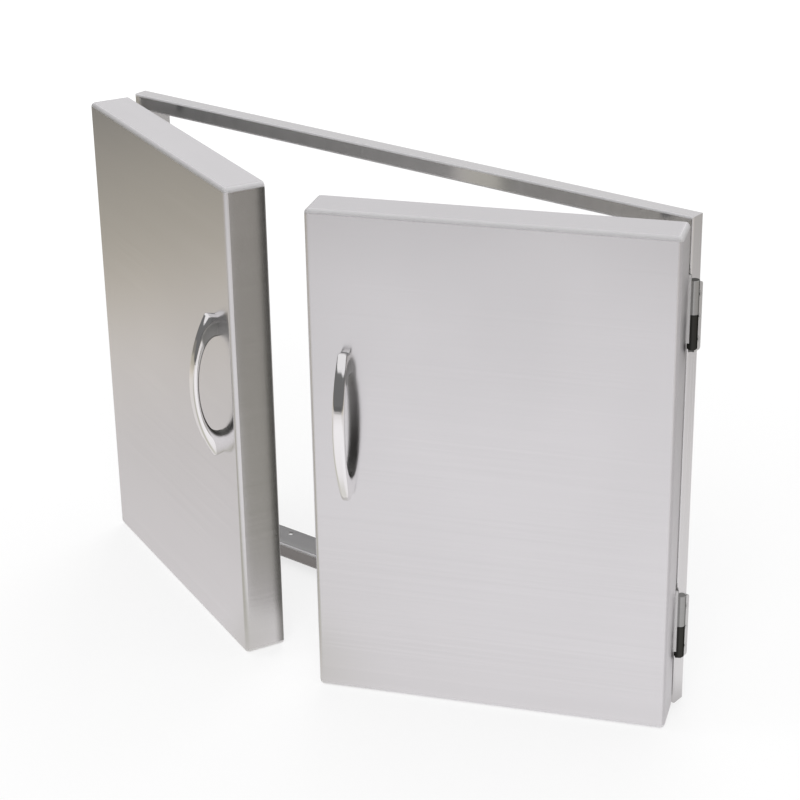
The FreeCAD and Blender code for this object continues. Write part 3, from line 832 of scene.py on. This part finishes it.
# %% Plain finishes
plain_plan = {
    "plated_steel": dict(
        metal=0.9, tone=(0.56, 0.58, 0.61), cloud=(0.44, 0.46, 0.50), rough=(0.30, 0.48),
        cloud_scale=260.0, skin_scale=1500.0, skin_depth=0.000006),
    "fastener_steel": dict(
        metal=1.0, tone=(0.62, 0.62, 0.61), cloud=(0.52, 0.52, 0.51), rough=(0.22, 0.34),
        cloud_scale=700.0, skin_scale=2400.0, skin_depth=0.000004),
    "magnet": dict(
        metal=0.4, tone=(0.17, 0.17, 0.18), cloud=(0.10, 0.10, 0.11), rough=(0.45, 0.62),
        cloud_scale=900.0, skin_scale=2600.0, skin_depth=0.00001),
    "carrier_plastic": dict(
        metal=0.0, tone=(0.045, 0.045, 0.047), cloud=(0.03, 0.03, 0.032), rough=(0.42, 0.58),
        cloud_scale=120.0, skin_scale=2200.0, skin_depth=0.00002),
    "washer_nylon": dict(
        metal=0.0, tone=(0.05, 0.05, 0.05), cloud=(0.035, 0.035, 0.035), rough=(0.30, 0.42),
        cloud_scale=300.0, skin_scale=2000.0, skin_depth=0.000006),
    "bumper_rubber": dict(
        metal=0.0, tone=(0.06, 0.06, 0.062), cloud=(0.09, 0.09, 0.092), rough=(0.66, 0.84),
        cloud_scale=350.0, skin_scale=3000.0, skin_depth=0.00002),
}
cloud_low, cloud_high = 0.35, 0.65
cloud_detail = 3.0


def plain_finish(slot, metal, tone, cloud, rough, cloud_scale, skin_scale, skin_depth):
    """A base tone with a cloud of a second tone and a fine skin."""
    material, tree, shader = new_material(slot, metal)
    place = object_place(tree)
    clouds = remap(tree, noise(tree, place, cloud_scale, cloud_detail), cloud_low, cloud_high, 0.0, 1.0)
    skin = noise(tree, place, skin_scale)
    tree.links.new(blend_colours(tree, clouds, tone, cloud), shader.inputs["Base Color"])
    tree.links.new(remap(tree, clouds, 0.0, 1.0, *rough), shader.inputs["Roughness"])
    tree.links.new(lifted(tree, skin, skin_depth), shader.inputs["Normal"])
    return material


plain_finishes = {slot: plain_finish(slot, **plan) for slot, plan in plain_plan.items()}
print("plain finishes:", sorted(plain_finishes))

# %% [markdown]
# ## Dressing the construction
#
# Every construction node names its finish in the record. The brushed sheets are made once for each
# body, because their grain lies along that body. Rails have their grain along them and stiles up them,
# as each was brushed before it was folded and mitred. Lower knuckles belong to the frame's leaves and
# are painted in a darker shade than the upper ones, which belong to the doors.

# %% Dress every node
sheet_plan = {
    "door_steel": dict(tone=(0.745, 0.735, 0.745), roughness=0.22, depth=0.000004),
    "liner_steel": dict(tone=(0.80, 0.80, 0.80), roughness=0.28, depth=0.0000015),
    "frame_steel": dict(tone=(0.74, 0.735, 0.735), roughness=0.22, depth=0.000004),
}
# Painted shade: the knuckles' tones, darkest on the lower ones.
lower_knuckle = dict(knuckle_tone=(0.055, 0.055, 0.05), knuckle_roughness=0.3)
upper_knuckle = dict(knuckle_tone=(0.40, 0.40, 0.39), knuckle_roughness=0.06)
made = {}


def made_once(key, maker, *arguments, **options):
    """The material kept under a key, made the first time it is asked for."""
    if key not in made:
        made[key] = maker(key, *arguments, **options)
    return made[key]


def finish_for(node_name, slot, body):
    """The material of one construction node."""
    if slot == "door_steel":
        return made_once(f"door_steel_{body}", brushed_steel, body, walls=door_walls(body),
                         **sheet_plan[slot])
    if slot == "liner_steel":
        return made_once(f"liner_steel_{body}", brushed_steel, body, grain="up", **sheet_plan[slot])
    if slot == "frame_steel":
        grain = "up" if "stile" in node_name else "across"
        return made_once(f"frame_steel_{grain}", brushed_steel, body, grain=grain, **sheet_plan[slot])
    if slot == "handle_steel":
        return made_once(f"handle_steel_{body}", handle_steel, node_name, body)
    if slot == "hinge_steel":
        side = "left" if node_name.startswith("left") else "right"
        knuckle = upper_knuckle if node_name.endswith("door_leaf") else lower_knuckle
        return made_once(f"hinge_steel_{side}_{body}", hinge_steel, body, **knuckle)
    return plain_finishes[slot]


def dress(node_name, material):
    """Gives a construction node its finish."""
    mesh = frame["nodes"][node_name].data
    if not mesh.materials:
        mesh.materials.append(material)
    for index in range(len(mesh.materials)):
        mesh.materials[index] = material


for subpart in frame["record"]["subparts"]:
    node_name, slot = subpart["node"], subpart["material_slot"]
    dress(node_name, finish_for(node_name, slot, body_of_node(node_name)))
print("materials on the construction:", len(made) + len(plain_finishes))

# %% [markdown]
# ## Countersunk screws
#
# The construction's screws are plain turned cones. A real one has a cross recess for the driver. One
# screw is modelled as on a lathe, a cylinder whose end is drawn out and narrowed in steps, and the
# recess is cut by two tapered blades. Each hinge screw is a copy of it, turned a little differently,
# because nobody lines up the slots.

# %% One screw
head_radius = 0.0036
head_rim = 0.0002
shank_radius = 0.00195
cone_depth = head_radius - shank_radius
screw_length = 0.0098
tip_chamfer = 0.0006
turned_sides = 32
recess_reach = 0.0044
recess_width = 0.0011
recess_depth = 0.0021
recess_taper = 0.45
looking_down = -0.9
smooth_up_to = math.radians(30)


def select_underside():
    """Selects the faces in edit mode that look straight down."""
    mesh = bmesh.from_edit_mesh(bpy.context.active_object.data)
    for face in mesh.faces:
        face.select = face.normal.z < looking_down
    mesh.select_flush_mode()
    bmesh.update_edit_mesh(bpy.context.active_object.data)


def draw_out(length, width):
    """Extrudes the selected end downwards and scales it, as a lathe tool steps in."""
    bpy.ops.mesh.extrude_region_move(TRANSFORM_OT_translate={"value": (0, 0, -length)})
    bpy.ops.transform.resize(value=(width, width, 1), center_override=(0, 0, 0))


def tapered_blade(quarter_turn):
    """One wing of the driver's tip, narrower at its foot."""
    deselect_everything()
    bpy.ops.mesh.primitive_cube_add(size=1, location=(0, 0, 0))
    blade = bpy.context.active_object
    sizes = (recess_reach, recess_width, 2 * recess_depth)
    blade.data.transform(Matrix.Diagonal((*sizes, 1)))
    bpy.ops.object.mode_set(mode="EDIT")
    select_underside()
    bpy.ops.transform.resize(value=(recess_taper, recess_taper, 1), center_override=(0, 0, 0))
    bpy.ops.object.mode_set(mode="OBJECT")
    blade.data.transform(Matrix.Rotation(math.radians(90 * quarter_turn), 4, "Z"))
    return blade


def cut_recess(screw):
    """Cuts both wings of the driver's tip into the head."""
    for quarter_turn in (0, 1):
        blade = tapered_blade(quarter_turn)
        cut = screw.modifiers.new("recess", "BOOLEAN")
        cut.operation = "DIFFERENCE"
        cut.solver = "EXACT"
        cut.object = blade
        bpy.context.view_layer.objects.active = screw
        bpy.ops.object.modifier_apply(modifier=cut.name)
        bpy.data.objects.remove(blade)


def countersunk_screw():
    """A screw along -Z with the flat of its head at Z = 0 and a cross recess."""
    deselect_everything()
    bpy.ops.mesh.primitive_cylinder_add(vertices=turned_sides, radius=head_radius, depth=head_rim,
                                        location=(0, 0, 0))
    screw = bpy.context.active_object
    screw.data.transform(Matrix.Translation((0, 0, -head_rim / 2)))
    bpy.ops.object.mode_set(mode="EDIT")
    select_underside()
    draw_out(cone_depth - head_rim, shank_radius / head_radius)
    draw_out(screw_length - cone_depth - tip_chamfer, 1.0)
    draw_out(tip_chamfer, (shank_radius - tip_chamfer) / shank_radius)
    bpy.ops.object.mode_set(mode="OBJECT")
    cut_recess(screw)
    deselect_everything()
    screw.select_set(True)
    bpy.context.view_layer.objects.active = screw
    bpy.ops.object.shade_smooth_by_angle(angle=smooth_up_to)
    return screw


pattern_screw = countersunk_screw()
print("screw faces:", len(pattern_screw.data.polygons))

# %% [markdown]
# Where do the copies go? A construction node holds all its screws as separate islands of triangles.
# Merging a copy of its mesh joins each island, and walking from corner to corner finds them. The head
# is the end of the island that reaches furthest outwards.

# %% Places of the screws
merge_distance = 0.00001


def islands(node_name):
    """The separate solids of a construction node, each as a list of points."""
    mesh = bmesh.new()
    mesh.from_mesh(frame["nodes"][node_name].data)
    bmesh.ops.remove_doubles(mesh, verts=mesh.verts, dist=merge_distance)
    found, seen = [], set()
    for start in mesh.verts:
        if start in seen:
            continue
        seen.add(start)
        island, queue = [], [start]
        while queue:
            vertex = queue.pop()
            island.append(vertex.co.copy())
            for edge in vertex.link_edges:
                other = edge.other_vert(vertex)
                if other not in seen:
                    seen.add(other)
                    queue.append(other)
        found.append(island)
    mesh.free()
    return found


def screw_matrix(points, outwards, upwards, twist):
    """Where a screw goes: its head at the outer end of an island, turned by a twist in degrees."""
    sideways = upwards.cross(outwards)
    head = outwards * max(point.dot(outwards) for point in points)
    head += sideways * middle_along(points, sideways) + upwards * middle_along(points, upwards)
    axes = Matrix((sideways, upwards, outwards)).transposed().to_4x4()
    return Matrix.Translation(head) @ axes @ Matrix.Rotation(math.radians(twist), 4, "Z")


# %% [markdown]
# The frame's leaves are screwed on from the sides and the doors' leaves from the back, so a screw's
# head looks sideways on the frame and inwards on a door. Each set is joined to one piece, which rides
# on its body and stands for the construction's plain screws.

# %% Fit the screws
slot_step = 37.0


def fit_screws(node_name, body):
    """Puts a modelled screw in each place of a node and lets the set stand for the node."""
    across, inwards, upwards = body_axes(body)
    copies = []
    for index, points in enumerate(islands(node_name)):
        if body == "frame":
            centre_x = sum(point.x for point in points) / len(points)
            outwards = across if centre_x > 0 else -across
        else:
            outwards = inwards
        copy = pattern_screw.copy()
        copy.data = pattern_screw.data.copy()
        copy.data.transform(screw_matrix(points, outwards, upwards, slot_step * index))
        bpy.context.scene.collection.objects.link(copy)
        copies.append(copy)
    deselect_everything()
    for copy in copies:
        copy.select_set(True)
    bpy.context.view_layer.objects.active = copies[0]
    bpy.ops.object.join()
    screws = bpy.context.active_object
    screws.name = node_name + "_with_recess"
    screws.data.materials.clear()
    screws.data.materials.append(plain_finishes["fastener_steel"])
    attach(screws, body)
    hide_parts(node_name)
    print(screws.name, len(copies), "screws")


for node_name in ("frame_leaf_screws", "left_door_leaf_screws", "right_door_leaf_screws"):
    fit_screws(node_name, body_of_node(node_name))
bpy.data.objects.remove(pattern_screw)
